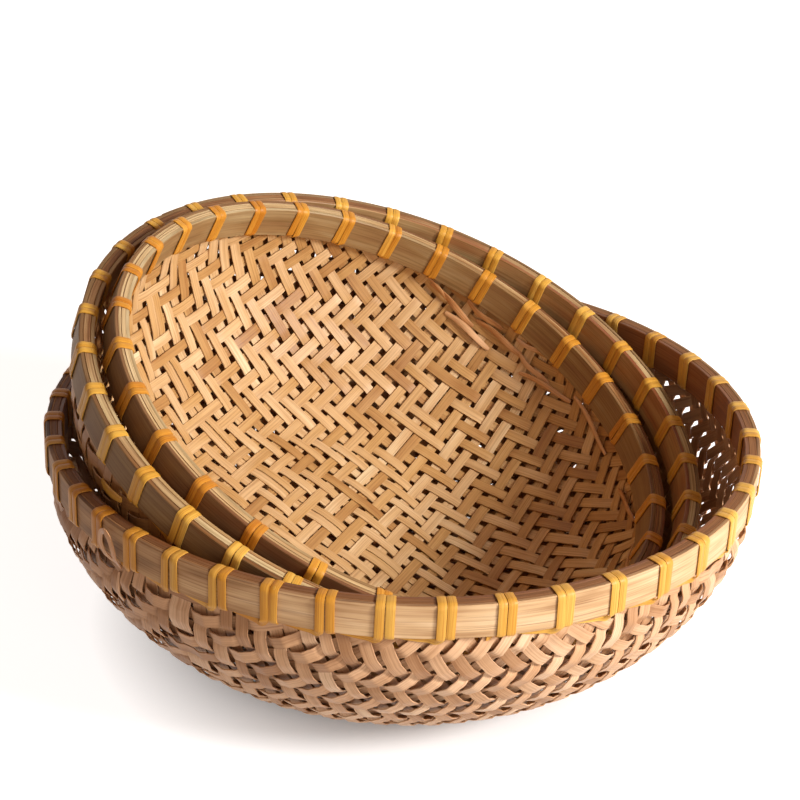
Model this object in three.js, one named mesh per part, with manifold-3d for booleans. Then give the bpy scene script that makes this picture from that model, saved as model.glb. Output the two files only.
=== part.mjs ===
// A nested set of three round bowl baskets of split bamboo. Each has a woven bowl whose edge is held
// between an outer and an inner hoop, a cap splint over the cut edge, and a lashing that binds them.
// The large basket stands level. The medium one lies tipped in it, and the small one in the medium.
// Sizes are in millimetres and angles in degrees. +Z is up, and the origin is the centre of the large
// basket's underside.
import * as THREE from 'three';
import { mergeVertices } from 'three/addons/utils/BufferGeometryUtils.js';
import Module from 'manifold-3d';

// Main sizes of the large basket, and how much smaller each of the others is
const RIM_RADIUS = 150;
const HEIGHT = 100;
const BASE_SHARE = 0.414; // radius of the flat base as a share of the rim's
const MEDIUM_INSET = 12.5; // medium rim's radius below the large one's
const SMALL_INSET = 10.5; // small rim's radius below the medium one's
const HEIGHT_STEP = 10; // from each basket to the next smaller one

// Where a basket's base lies in the one outside it, sideways from that basket's axis
const MEDIUM_SHIFT_X = -28.2;
const MEDIUM_SHIFT_Y = 17.8;
const SMALL_SHIFT_X = -6.8;
const SMALL_SHIFT_Y = -0.5;

// Woven bowl
const WALL_THICKNESS = 2.5; // two crossing layers of strip with their waviness
const WALL_FULLNESS = 1.63; // exponent of the wall's curve, 2 is a quarter ellipse
const WALL_STEPS = 6; // straight steps along the curved wall
const BASE_RINGS = 2; // rings of crossings on the flat base's upper face
const WEAVE_RELIEF = 1; // depth of the dips where the strips pass to the other face

// Hoops and cap, flat slats bent round the rim
const OUTER_HOOP_THICKNESS = 1.8;
const OUTER_HOOP_HEIGHT = 14;
const INNER_HOOP_THICKNESS = 1.8;
const INNER_HOOP_HEIGHT = 15;
const CAP_HEIGHT = 2.4;
const SCARF_LENGTH = 42; // lap of a slat's tapered ends
const SCARF_TIP = 0.4; // thickness left at a tapered end

// Lashing strip
const STRIP_WIDTH = 4.2;
const STRIP_THICKNESS = 0.6;
const TURN_GAP = 0.8; // between the two turns of a wrap, on the inner face
const FOLD_GAP = 0.5; // between the strip's way out through the wall and its run along it
const TAIL_LENGTH = 2.5; // free ends of a strip
const LEAST_STRIP_GAP = 0.4;

// Clearances
const SEAT_GAP = 0.3; // between pieces of one basket that touch
const NEST_GAP = 0.3; // between a basket and the one it lies in
const FACET_DEPTH = 0.33; // how far a round face's flats lie inside its true circle

// Sampling
const GAP_SAMPLES = 8; // points along each side of a stretch of strip
const FINE_STEPS = 24; // steps of the wall's curve when a basket is seated
const SEAT_POINTS = 72; // points round a ring when a basket is seated
const SEAT_PRECISION = 0.01;

// firstWrap and drift place the hand-spaced wraps: angle = even spacing + sine and cosine parts.
// tip and lean say how far and which way a basket is tipped in the one outside it.
const BASKETS = [
  {
    name: 'large',
    rimRadius: RIM_RADIUS,
    height: HEIGHT,
    wraps: 40,
    strips: 4,
    firstWrap: 201.05,
    driftSine: 4.05,
    driftCosine: -4.4,
    scarfAngle: 75,
  },
  {
    name: 'medium',
    rimRadius: RIM_RADIUS - MEDIUM_INSET,
    height: HEIGHT - HEIGHT_STEP,
    wraps: 34,
    strips: 3,
    firstWrap: 148.1,
    driftSine: -0.5,
    driftCosine: -3.9,
    scarfAngle: 130,
    tip: 20.2,
    lean: -33.5,
    shiftX: MEDIUM_SHIFT_X,
    shiftY: MEDIUM_SHIFT_Y,
  },
  {
    name: 'small',
    rimRadius: RIM_RADIUS - MEDIUM_INSET - SMALL_INSET,
    height: HEIGHT - 2 * HEIGHT_STEP,
    wraps: 30,
    strips: 3,
    firstWrap: -15.4,
    driftSine: 2.3,
    driftCosine: 2.7,
    scarfAngle: 150,
    tip: 5.6,
    lean: 6,
    shiftX: SMALL_SHIFT_X,
    shiftY: SMALL_SHIFT_Y,
  },
];

const COLOURS = {
  weave: new THREE.MeshStandardMaterial({ color: 0xcf9a62, roughness: 0.7, metalness: 0 }),
  hoop: new THREE.MeshStandardMaterial({ color: 0xb08a63, roughness: 0.6, metalness: 0 }),
  cap: new THREE.MeshStandardMaterial({ color: 0xa58b5e, roughness: 0.6, metalness: 0 }),
  lashing: new THREE.MeshStandardMaterial({ color: 0xe3aa35, roughness: 0.4, metalness: 0 }),
};

const radians = THREE.MathUtils.degToRad;
const wasm = await Module();
wasm.setup();

// Radii and heights of a basket's rim, worked out from its outside inwards.
function rimOf(basket) {
  const { rimRadius, height } = basket;
  const wallOuter = rimRadius - OUTER_HOOP_THICKNESS - SEAT_GAP;
  const wallInner = wallOuter - WALL_THICKNESS;
  const innerHoopOuter = wallInner - SEAT_GAP;
  const innerHoopInner = innerHoopOuter - INNER_HOOP_THICKNESS;
  const halfStrip = STRIP_THICKNESS / 2;
  const hoopDepth = Math.max(OUTER_HOOP_HEIGHT, INNER_HOOP_HEIGHT);
  const stripBottom = height - hoopDepth - SEAT_GAP - halfStrip;
  const travelHeight = stripBottom - halfStrip - FOLD_GAP - STRIP_WIDTH / 2;
  return {
    wallOuter,
    wallInner,
    innerHoopOuter,
    innerHoopInner,
    capBottom: height - CAP_HEIGHT,
    wallTop: height - CAP_HEIGHT - SEAT_GAP,
    stripOuter: rimRadius + SEAT_GAP + halfStrip,
    stripInner: innerHoopInner - SEAT_GAP - FACET_DEPTH - halfStrip,
    stripTop: height + SEAT_GAP + halfStrip,
    stripBottom,
    travelRadius: wallOuter + SEAT_GAP + halfStrip,
    travelHeight,
    bandBottom: travelHeight - STRIP_WIDTH / 2 - SEAT_GAP,
  };
}

// Number of flats round a basket, an even one, and the angle of flat edge i.
function flatsOf(basket) {
  return 2 * Math.ceil(Math.PI / 2 / Math.acos(1 - FACET_DEPTH / basket.rimRadius));
}
function flatAngle(i, flats) {
  return -Math.PI / 2 + (i * 2 * Math.PI) / flats;
}

// Outer face of the wall from the base's edge to the upright band, with its outward normals.
function wallCurve(basket, steps) {
  const rim = rimOf(basket);
  const baseRadius = BASE_SHARE * basket.rimRadius;
  const reach = rim.wallOuter - baseRadius;
  const power = 2 / WALL_FULLNESS;
  const points = [];
  for (let i = 0; i <= steps; i += 1) {
    const turn = (i / steps) * (Math.PI / 2);
    const s = Math.sin(turn);
    const c = Math.cos(turn);
    const r = baseRadius + reach * s ** power;
    const z = rim.bandBottom * (1 - c ** power);
    // The gradient of the curve's formula is its normal
    const normal = new THREE.Vector2(
      s ** (2 - power) / reach,
      -(c ** (2 - power)) / rim.bandBottom,
    ).normalize();
    points.push({ r, z, normal });
  }
  return points;
}

// Rings of the bowl's skin: out along the underside, up the wall, over its edge and back inside to
// the middle. dip is how far every other point of a ring goes in, and phase says which ones.
// Where the outside dips, the inside does not, so that the wall wavers and is equally thick all over.
function bowlRings(basket) {
  const rim = rimOf(basket);
  const curve = wallCurve(basket, WALL_STEPS);
  const level = new THREE.Vector2(0, 0);
  const outside = curve.map(({ r, z, normal }, i) => ({
    at: new THREE.Vector2(r, z),
    dip: i > 0 && i < WALL_STEPS ? normal.clone().multiplyScalar(-WEAVE_RELIEF) : level,
    phase: i,
  }));
  const inside = curve.map(({ r, z, normal }, i) => ({
    at: new THREE.Vector2(r, z).addScaledVector(normal, -WALL_THICKNESS),
    dip: i < WALL_STEPS ? normal.clone().multiplyScalar(WEAVE_RELIEF) : level,
    phase: i + 1,
  }));
  const base = Array.from({ length: BASE_RINGS }, (unused, i) => ({
    at: new THREE.Vector2((curve[0].r * (i + 1)) / (BASE_RINGS + 1), WALL_THICKNESS),
    dip: new THREE.Vector2(0, -WEAVE_RELIEF),
    phase: i + 1 + BASE_RINGS,
  }));
  return [
    ...outside,
    { at: new THREE.Vector2(rim.wallOuter, rim.wallTop), dip: level, phase: 0 },
    { at: new THREE.Vector2(rim.wallInner, rim.wallTop), dip: level, phase: 0 },
    ...inside.reverse(),
    ...base.reverse(),
  ];
}

// Skin of the bowl. A square between two rings is split along the crossings that stand out, so that
// they join in slanting ridges, as the strips of the twill do.
function bowlSkin(basket) {
  const flats = flatsOf(basket);
  const rings = bowlRings(basket);
  const dips = (ring, j) => (rings[ring].phase + j) % 2 === 0;
  const positions = [0, 0, 0, 0, 0, WALL_THICKNESS];
  rings.forEach(({ at, dip }, ring) => {
    for (let j = 0; j < flats; j += 1) {
      const { x: r, y: z } = dips(ring, j) ? at.clone().add(dip) : at;
      const angle = flatAngle(j, flats);
      positions.push(r * Math.cos(angle), r * Math.sin(angle), z);
    }
  });
  const point = (ring, j) => 2 + ring * flats + (j % flats);
  const index = [];
  for (let j = 0; j < flats; j += 1) {
    index.push(0, point(0, j + 1), point(0, j));
    index.push(1, point(rings.length - 1, j), point(rings.length - 1, j + 1));
    for (let ring = 0; ring + 1 < rings.length; ring += 1) {
      const a = point(ring, j);
      const b = point(ring, j + 1);
      const c = point(ring + 1, j + 1);
      const d = point(ring + 1, j);
      if (dips(ring, j)) index.push(a, b, d, b, c, d);
      else index.push(a, b, c, a, c, d);
    }
  }
  const geometry = new THREE.BufferGeometry();
  geometry.setAttribute('position', new THREE.Float32BufferAttribute(positions, 3));
  geometry.setIndex(index);
  return geometry;
}

function toManifold(geometry) {
  const plain = new THREE.BufferGeometry();
  plain.setAttribute('position', geometry.getAttribute('position').clone());
  plain.setIndex(geometry.getIndex());
  const merged = mergeVertices(plain, 1e-4);
  const index = Array.from(merged.getIndex().array);
  const triangles = [];
  for (let i = 0; i < index.length; i += 3) {
    const [a, b, c] = index.slice(i, i + 3);
    if (a !== b && b !== c && c !== a) triangles.push(a, b, c);
  }
  return new wasm.Manifold(new wasm.Mesh({
    numProp: 3,
    vertProperties: new Float32Array(merged.getAttribute('position').array),
    triVerts: new Uint32Array(triangles),
  }));
}

function toGeometry(manifold) {
  const mesh = manifold.getMesh();
  const geometry = new THREE.BufferGeometry();
  geometry.setAttribute('position', new THREE.Float32BufferAttribute(mesh.vertProperties, 3));
  geometry.setIndex(Array.from(mesh.triVerts));
  geometry.computeVertexNormals();
  return geometry;
}

// Angles of the wraps round the rim, in radians, in order.
function wrapAngles(basket) {
  const even = 360 / basket.wraps;
  return Array.from({ length: basket.wraps }, (unused, i) => {
    const angle = radians(basket.firstWrap + i * even);
    const drift = basket.driftSine * Math.sin(angle) + basket.driftCosine * Math.cos(angle);
    return angle + radians(drift);
  });
}

// Sideways steps of the strip: from a wrap's first turn to its second, and on to its way out.
function stepsOf(basket) {
  const rim = rimOf(basket);
  const way = rim.stripOuter - rim.stripInner;
  const turn = (STRIP_WIDTH + TURN_GAP) / rim.stripInner;
  return {
    turn,
    intoWall: (turn * (rim.wallInner - SEAT_GAP - rim.stripInner)) / way,
    outOfWall: (turn * (rim.travelRadius - rim.stripInner)) / way,
  };
}

// Slots in the wall under the hoops, one at each wrap, wide enough for both turns and the way out.
function slotCutters(basket) {
  const rim = rimOf(basket);
  const steps = stepsOf(basket);
  const half = (STRIP_WIDTH / 2 + SEAT_GAP) / rim.wallInner;
  const from = -steps.turn / 2 + steps.intoWall - half;
  const to = steps.turn / 2 + steps.outOfWall + half;
  const depth = WALL_THICKNESS * 3;
  const width = (to - from) * rim.wallOuter;
  const middleRadius = (rim.wallOuter + rim.wallInner) / 2;
  return wrapAngles(basket).map((angle) => {
    const box = new THREE.BoxGeometry(depth, width, STRIP_THICKNESS + 2 * SEAT_GAP);
    const middle = angle + (from + to) / 2;
    box.rotateZ(middle);
    box.translate(middleRadius * Math.cos(middle), middleRadius * Math.sin(middle), rim.stripBottom);
    return box;
  });
}

function wovenBowl(basket) {
  const cutters = slotCutters(basket).map(toManifold);
  const bowl = toManifold(bowlSkin(basket)).subtract(wasm.Manifold.union(cutters));
  return toGeometry(bowl);
}

// A closed skin through a row of four-cornered sections, with flat ends.
function sectionSkin(sections) {
  const positions = sections.flat().flatMap((p) => [p.x, p.y, p.z]);
  const index = [];
  for (let i = 0; i + 1 < sections.length; i += 1) {
    for (let k = 0; k < 4; k += 1) {
      const a = i * 4 + k;
      const b = i * 4 + ((k + 1) % 4);
      index.push(a, b, b + 4, a, b + 4, a + 4);
    }
  }
  const last = (sections.length - 1) * 4;
  index.push(0, 2, 1, 0, 3, 2, last, last + 1, last + 2, last, last + 2, last + 3);
  const geometry = new THREE.BufferGeometry();
  geometry.setAttribute('position', new THREE.Float32BufferAttribute(positions, 3));
  geometry.setIndex(index);
  geometry.computeVertexNormals();
  return geometry;
}

// A slat bent into a ring, whose two tapered ends lap in a scarf: the first lies inside the last.
// A stop holds the flat it stands at, counted from the first end, and the slat's two radii there.
function scarfedSlat(basket, inner, thickness, bottom, top) {
  const flats = flatsOf(basket);
  const flatLength = (2 * Math.PI * basket.rimRadius) / flats;
  const lap = Math.max(1, Math.round(SCARF_LENGTH / flatLength));
  const start = Math.round(((radians(basket.scarfAngle) + Math.PI / 2) * flats) / (2 * Math.PI));
  const taper = thickness - 2 * SCARF_TIP - SEAT_GAP;
  const outer = inner + thickness;
  const gap = SEAT_GAP / flatLength;
  const stops = [];
  for (let i = 0; i <= lap; i += 1) {
    stops.push([i, inner, inner + SCARF_TIP + (taper * i) / lap]);
  }
  stops.push([lap + gap, inner, inner + SCARF_TIP + taper]);
  stops.push([lap + 2 * gap, inner, outer]);
  for (let i = lap + 1; i < flats; i += 1) stops.push([i, inner, outer]);
  stops.push([flats - 2 * gap, inner, outer]);
  stops.push([flats - gap, outer - taper - SCARF_TIP, outer]);
  for (let i = 0; i <= lap; i += 1) {
    stops.push([flats + i, outer - taper - SCARF_TIP + (taper * i) / lap, outer]);
  }
  return sectionSkin(stops.map(([i, near, far]) => {
    const angle = flatAngle(start + i, flats);
    const at = (r, z) => new THREE.Vector3(r * Math.cos(angle), r * Math.sin(angle), z);
    return [at(near, bottom), at(near, top), at(far, top), at(far, bottom)];
  }));
}

// Sections of one length of lashing strip: a wrap of two turns at each angle, and on the wall the
// runs between wraps. A section goes round its four corners left near, left far, right far and right
// near, with near the side that lies on the hoops. Each bend is mitred. The strip comes up from its
// run along the wall with the other face outwards after each wrap.
function lashingSections(basket, angles) {
  const rim = rimOf(basket);
  const steps = stepsOf(basket);
  const t = STRIP_THICKNESS / 2;
  const w = STRIP_WIDTH / 2;
  const corner = (angle, r, side, z) => new THREE.Vector3(
    r * Math.cos(angle) - side * Math.sin(angle),
    r * Math.sin(angle) + side * Math.cos(angle),
    z,
  );
  // dr and dz lead from the strip's middle to its far face
  const bend = (angle, r, z, dr, dz) => [
    corner(angle, r - dr, -w, z - dz),
    corner(angle, r + dr, -w, z + dz),
    corner(angle, r + dr, w, z + dz),
    corner(angle, r - dr, w, z - dz),
  ];
  // Flat on the wall: left and right are the heights of the two edges, dr leads to the far face
  const flat = (angle, r, sideways, left, right, dr) => [
    corner(angle, r - dr, -sideways, rim.travelHeight + left),
    corner(angle, r + dr, -sideways, rim.travelHeight + left),
    corner(angle, r + dr, sideways, rim.travelHeight + right),
    corner(angle, r - dr, sideways, rim.travelHeight + right),
  ];
  const overRim = (angle) => [
    bend(angle, rim.stripOuter, rim.stripTop, t, t),
    bend(angle, rim.stripInner, rim.stripTop, -t, t),
    bend(angle, rim.stripInner, rim.stripBottom, -t, -t),
  ];
  const sections = [];
  angles.forEach((angle, i) => {
    const first = angle - steps.turn / 2;
    const second = angle + steps.turn / 2;
    const out = second + steps.outOfWall;
    const wrap = [
      flat(first, rim.stripOuter, w, w, -w, t),
      ...overRim(first),
      bend(second, rim.stripOuter, rim.stripBottom, t, -t),
      ...overRim(second),
      bend(out, rim.travelRadius, rim.stripBottom, -t, -t),
      flat(out, rim.travelRadius, w, -w, w, -t),
    ];
    if (i === 0) {
      wrap.unshift(flat(first - (w + TAIL_LENGTH) / rim.stripOuter, rim.stripOuter, 0, w, -w, t));
    }
    if (i === angles.length - 1) {
      wrap.push(flat(out + (w + TAIL_LENGTH) / rim.travelRadius, rim.travelRadius, 0, -w, w, -t));
    }
    const turned = i % 2 ? wrap.map(([a, b, c, d]) => [c, d, a, b]) : wrap;
    sections.push(...turned);
  });
  return sections;
}

// Least distance between parts of a strip that do not follow on from each other, from points on it.
function leastGapToItself(sections) {
  const stretches = [];
  for (let i = 0; i + 1 < sections.length; i += 1) {
    const points = [];
    for (let along = 0; along <= GAP_SAMPLES; along += 1) {
      for (let k = 0; k < 4; k += 1) {
        for (let across = 0; across < GAP_SAMPLES; across += 1) {
          const from = sections[i][k].clone().lerp(sections[i][(k + 1) % 4], across / GAP_SAMPLES);
          const to = sections[i + 1][k].clone().lerp(sections[i + 1][(k + 1) % 4], across / GAP_SAMPLES);
          points.push(from.lerp(to, along / GAP_SAMPLES));
        }
      }
    }
    stretches.push({ points, box: new THREE.Box3().setFromPoints(points) });
  }
  let least = Infinity;
  stretches.forEach((one, i) => {
    stretches.slice(i + 2).forEach((other) => {
      if (!one.box.clone().expandByScalar(STRIP_WIDTH).intersectsBox(other.box)) return;
      one.points.forEach((p) => other.points.forEach((q) => {
        least = Math.min(least, p.distanceTo(q));
      }));
    });
  });
  return least;
}

// Distance from a point to a closed outline in the plane of radius and height, negative inside it.
function distanceToOutline(r, z, outline) {
  let nearest = Infinity;
  let inside = false;
  outline.forEach((a, i) => {
    const b = outline[(i + 1) % outline.length];
    const dx = b.x - a.x;
    const dy = b.y - a.y;
    const along = ((r - a.x) * dx + (z - a.y) * dy) / (dx * dx + dy * dy);
    const t = Math.min(1, Math.max(0, along));
    nearest = Math.min(nearest, Math.hypot(r - a.x - t * dx, z - a.y - t * dy));
    if ((a.y > z) !== (b.y > z) && r < a.x + (dx * (z - a.y)) / dy) inside = !inside;
  });
  return inside ? -nearest : nearest;
}

// Outline of a basket's solid side as one lying in it meets it: its hollow, its rim and what is below.
function hollowOutline(basket) {
  const rim = rimOf(basket);
  const t = STRIP_THICKNESS / 2;
  const deep = -basket.height;
  const wall = wallCurve(basket, FINE_STEPS).map(({ r, z, normal }) => (
    new THREE.Vector2(r, z).addScaledVector(normal, -WALL_THICKNESS)
  ));
  return [
    new THREE.Vector2(0, WALL_THICKNESS),
    ...wall,
    new THREE.Vector2(rim.stripInner - t, rim.bandBottom),
    new THREE.Vector2(rim.stripInner - t, rim.stripTop + t),
    new THREE.Vector2(rim.stripOuter + t, rim.stripTop + t),
    new THREE.Vector2(rim.stripOuter + t, deep),
    new THREE.Vector2(0, deep),
  ];
}

// Points over a basket's outside, its lashing counted in.
function outsidePoints(basket) {
  const rim = rimOf(basket);
  const t = STRIP_THICKNESS / 2;
  const rings = wallCurve(basket, FINE_STEPS).map(({ r, z }) => [r, z]);
  for (let i = 0; i <= FINE_STEPS; i += 1) {
    const z = rim.bandBottom + ((rim.stripTop + t - rim.bandBottom) * i) / FINE_STEPS;
    rings.push([rim.stripOuter + t, z]);
  }
  return rings.flatMap(([r, z]) => Array.from({ length: SEAT_POINTS }, (unused, i) => {
    const angle = (i * 2 * Math.PI) / SEAT_POINTS;
    return new THREE.Vector3(r * Math.cos(angle), r * Math.sin(angle), z);
  }));
}

// Lays a basket tipped in the one outside it and lowers it until the nest gap is left between them.
function seatIn(basket, outer) {
  const lean = radians(basket.lean);
  const axis = new THREE.Vector3(-Math.sin(lean), Math.cos(lean), 0);
  const turn = new THREE.Quaternion().setFromAxisAngle(axis, radians(basket.tip));
  const points = outsidePoints(basket).map((p) => p.applyQuaternion(turn));
  const outline = hollowOutline(outer);
  const clear = (height) => points.every((p) => {
    const r = Math.hypot(p.x + basket.shiftX, p.y + basket.shiftY);
    return distanceToOutline(r, p.z + height, outline) > NEST_GAP + FACET_DEPTH;
  });
  let high = outer.height + basket.height;
  let low = 0;
  while (high - low > SEAT_PRECISION) {
    const middle = (high + low) / 2;
    if (clear(middle)) high = middle;
    else low = middle;
  }
  return { position: new THREE.Vector3(basket.shiftX, basket.shiftY, high), turn };
}

function named(name, geometry, material) {
  const mesh = new THREE.Mesh(geometry, material.clone());
  mesh.name = name;
  return mesh;
}

function basketGroup(basket) {
  const { name, rimRadius, height } = basket;
  const rim = rimOf(basket);
  const group = new THREE.Group();
  group.name = `${name}_basket`;
  group.add(named(`${name}_woven_bowl`, wovenBowl(basket), COLOURS.weave));
  const outerHoop = scarfedSlat(
    basket,
    rimRadius - OUTER_HOOP_THICKNESS,
    OUTER_HOOP_THICKNESS,
    height - OUTER_HOOP_HEIGHT,
    height,
  );
  group.add(named(`${name}_outer_hoop`, outerHoop, COLOURS.hoop));
  const innerHoop = scarfedSlat(
    basket,
    rim.innerHoopInner,
    INNER_HOOP_THICKNESS,
    height - INNER_HOOP_HEIGHT,
    height,
  );
  group.add(named(`${name}_inner_hoop`, innerHoop, COLOURS.hoop));
  const cap = scarfedSlat(basket, rim.wallInner, WALL_THICKNESS, rim.capBottom, height);
  group.add(named(`${name}_cap_splint`, cap, COLOURS.cap));
  const angles = wrapAngles(basket);
  for (let i = 0; i < basket.strips; i += 1) {
    const from = Math.round((i * angles.length) / basket.strips);
    const to = Math.round(((i + 1) * angles.length) / basket.strips);
    const sections = lashingSections(basket, angles.slice(from, to));
    const gap = leastGapToItself(sections);
    const strip = `${name} lashing ${i + 1}`;
    console.log(`${strip}: ${2 * (to - from)} turns, least gap to itself ${gap.toFixed(2)} mm`);
    if (gap < LEAST_STRIP_GAP) throw new Error(`${strip} comes too near itself`);
    group.add(named(`${name}_lashing_${i + 1}`, sectionSkin(sections), COLOURS.lashing));
  }
  return group;
}

const nest = new THREE.Group();
nest.name = 'nested_baskets';
let holder = nest;
BASKETS.forEach((basket, i) => {
  const group = basketGroup(basket);
  if (i > 0) {
    const outer = BASKETS[i - 1];
    const { position, turn } = seatIn(basket, outer);
    group.position.copy(position);
    group.quaternion.copy(turn);
    console.log(`${basket.name} basket lies ${position.z.toFixed(2)} mm up in the ${outer.name} one`);
  }
  holder.add(group);
  holder = group;
});

export default nest;
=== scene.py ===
"""Nested set of three woven bamboo baskets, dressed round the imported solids."""
import math

import bpy
import numpy as np
from mathutils import Matrix


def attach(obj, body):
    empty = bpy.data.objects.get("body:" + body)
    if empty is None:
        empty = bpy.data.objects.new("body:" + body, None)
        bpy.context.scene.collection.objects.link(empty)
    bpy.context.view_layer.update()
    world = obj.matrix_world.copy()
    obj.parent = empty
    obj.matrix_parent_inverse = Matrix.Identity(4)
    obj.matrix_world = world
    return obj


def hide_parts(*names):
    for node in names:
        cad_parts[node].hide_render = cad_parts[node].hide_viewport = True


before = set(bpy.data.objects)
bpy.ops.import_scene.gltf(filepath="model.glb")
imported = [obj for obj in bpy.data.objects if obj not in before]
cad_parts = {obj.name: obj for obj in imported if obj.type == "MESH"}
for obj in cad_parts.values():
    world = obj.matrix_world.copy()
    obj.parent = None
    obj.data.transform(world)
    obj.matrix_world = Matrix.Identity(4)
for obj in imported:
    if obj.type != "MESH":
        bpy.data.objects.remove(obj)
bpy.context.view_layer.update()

MM = 0.001

# Sizes in millimetres that the three baskets share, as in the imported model
WALL = 2.5
FULLNESS = 1.63  # exponent of the wall's curve, 2 is a quarter ellipse
BASE_SHARE = 0.414  # radius of the flat base as a share of the rim's
HOOP = 1.8
OUTER_HOOP_HEIGHT = 14.0
INNER_HOOP_HEIGHT = 15.0
SCARF = 42.0  # lap of a hoop's tapered ends
SEAT = 0.3  # clearance between pieces that touch
STRIP_WIDTH = 4.2
STRIP_OFF = 0.6  # from the rim to the middle of the lashing strip
STRIP_OFF_INSIDE = 0.85
STRIP_FOLD = 0.8  # between the strip's way out through the wall and its run along it
WALL_BELOW_RIM = 2.7
LASHING_GAP = 0.25  # between the two turns of a wrap


def tilt(tip, lean):
    """Rotation that tips +Z by tip towards the azimuth lean, both in degrees."""
    t, a = math.radians(tip), math.radians(lean)
    x, y = -math.sin(a), math.cos(a)
    k = np.array([[0, 0, y], [0, 0, -x], [-y, x, 0]])
    return np.eye(3) + math.sin(t) * k + (1 - math.cos(t)) * k @ k


def smoothed(row):
    """Mean of each value and its four neighbours on both sides; the ends stay where they are."""
    kernel = np.ones(9) / 9
    ends = np.concatenate([2 * row[0] - row[4:0:-1], row, 2 * row[-1] - row[-2:-6:-1]])
    return np.convolve(ends, kernel, "valid")


class Basket:
    """Sizes in millimetres, in the basket's own frame, and its place in the nest.

    The lashing goes over the rim in wraps of two turns. They are spaced evenly from the azimuth first,
    but for a drift by a sine and a cosine of their place, all in degrees. The strips on the outside of
    the wall stand out by bulge, and the weave may be closer towards -X and darker there, which is
    painted shade on the side away from the key lamp.
    """

    def __init__(self, name, radius, height, wraps, strips, first, sine, cosine, scarf, mat_angle, turn,
                 origin, seed, widths, lash_width=3.15, bulge=0.3, closer_left=0.0, painted_shade_left=0.0):
        self.name, self.seed, self.strips = name, seed, strips
        self.radius, self.height, self.base = radius, height, BASE_SHARE * radius
        self.turn, self.origin = turn, np.array(origin)
        self.mat_angle, self.scarf = math.radians(mat_angle), math.radians(scarf)
        self.widths, self.bulge = widths, bulge
        self.closer_left, self.painted_shade_left = closer_left, painted_shade_left
        self.lash_width, self.lash_pitch = lash_width, lash_width + LASHING_GAP
        self.wall_outer = radius - HOOP - SEAT
        self.wall_inner = self.wall_outer - WALL
        self.hoop_inner = self.wall_inner - SEAT - HOOP
        self.strip_outer = radius + STRIP_OFF
        self.strip_inner = self.hoop_inner - STRIP_OFF_INSIDE
        self.strip_top = height + STRIP_OFF
        self.strip_bottom = height - INNER_HOOP_HEIGHT - STRIP_OFF
        travel = self.strip_bottom - STRIP_FOLD - STRIP_WIDTH / 2
        self.band = travel - STRIP_WIDTH / 2 - SEAT
        self.wall_top = height - WALL_BELOW_RIM
        even = np.arange(wraps) * 2 * math.pi / wraps + math.radians(first)
        drift = sine * np.sin(even) + cosine * np.cos(even)
        self.angles = even + np.radians(drift)
        self.measure_wall()

    def measure_wall(self):
        """Radius, height and outward normal of the wall's middle against arc length."""
        power = 2 / FULLNESS
        a = np.linspace(0, math.pi / 2, 200)
        s, c = np.sin(a), np.clip(np.cos(a), 0, 1)
        reach = self.wall_outer - self.base
        r = self.base + reach * s ** power
        z = self.band * (1 - c ** power)
        n = np.stack([s ** (2 - power) / reach, -c ** (2 - power) / self.band], 1)
        n /= np.linalg.norm(n, axis=1)[:, None]
        r, z = r - n[:, 0] * WALL / 2, z - n[:, 1] * WALL / 2
        r = np.concatenate([[0], r, [r[-1]]])
        z = np.concatenate([[WALL / 2], z, [self.wall_top]])
        length = np.concatenate([[0], np.cumsum(np.hypot(np.diff(r), np.diff(z)))])
        self.reach = length[-1]
        self.s = np.arange(0, self.reach + 1, 1.0)
        self.r = np.interp(self.s, length, r)
        self.z = np.interp(self.s, length, z)
        self.r, self.z = smoothed(self.r), np.maximum(smoothed(self.z), WALL / 2)
        dr, dz = np.gradient(self.r), np.gradient(self.z)
        size = np.hypot(dr, dz)
        self.nr, self.nz = dz / size, -dr / size

    def on_wall(self, u, v):
        """Point and outward normal of the wall where the flat mat's point (u, v) comes to lie."""
        rho = np.hypot(u, v)
        psi = np.arctan2(v, u) + self.mat_angle
        r, z = np.interp(rho, self.s, self.r), np.interp(rho, self.s, self.z)
        nr, nz = np.interp(rho, self.s, self.nr), np.interp(rho, self.s, self.nz)
        c, s = np.cos(psi), np.sin(psi)
        return np.stack([r * c, r * s, z], -1), np.stack([nr * c, nr * s, nz], -1)

    def place(self, points):
        return (np.asarray(points) @ self.turn.T + self.origin) * MM


MEDIUM_TURN = tilt(20.2, -33.5)
MEDIUM_ORIGIN = np.array([-28.2, 17.8, 25.32])
SMALL_TURN = MEDIUM_TURN @ tilt(5.6, 6.0)
SMALL_ORIGIN = MEDIUM_ORIGIN + MEDIUM_TURN @ np.array([-6.8, -0.5, 8.36])
BASKETS = [
    Basket("large", radius=150, height=100, wraps=40, strips=4, first=201.05, sine=4.05, cosine=-4.4,
           scarf=75, mat_angle=-33, turn=np.eye(3), origin=(0, 0, 0), seed=11, widths=(5.2, 5.3),
           lash_width=3.5, bulge=1.5, closer_left=0.22, painted_shade_left=0.35),
    Basket("medium", radius=137.5, height=90, wraps=34, strips=3, first=148.1, sine=-0.5, cosine=-3.9,
           scarf=130, mat_angle=20, turn=MEDIUM_TURN, origin=MEDIUM_ORIGIN, seed=23, widths=(5.5, 5.5)),
    Basket("small", radius=127, height=80, wraps=30, strips=3, first=-15.4, sine=2.3, cosine=2.7,
           scarf=150, mat_angle=-25, turn=SMALL_TURN, origin=SMALL_ORIGIN, seed=37, widths=(4.75, 5.0)),
]


# Mesh building

SHARP_ANGLE = 38  # between two faces, above which their edge stays sharp


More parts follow.
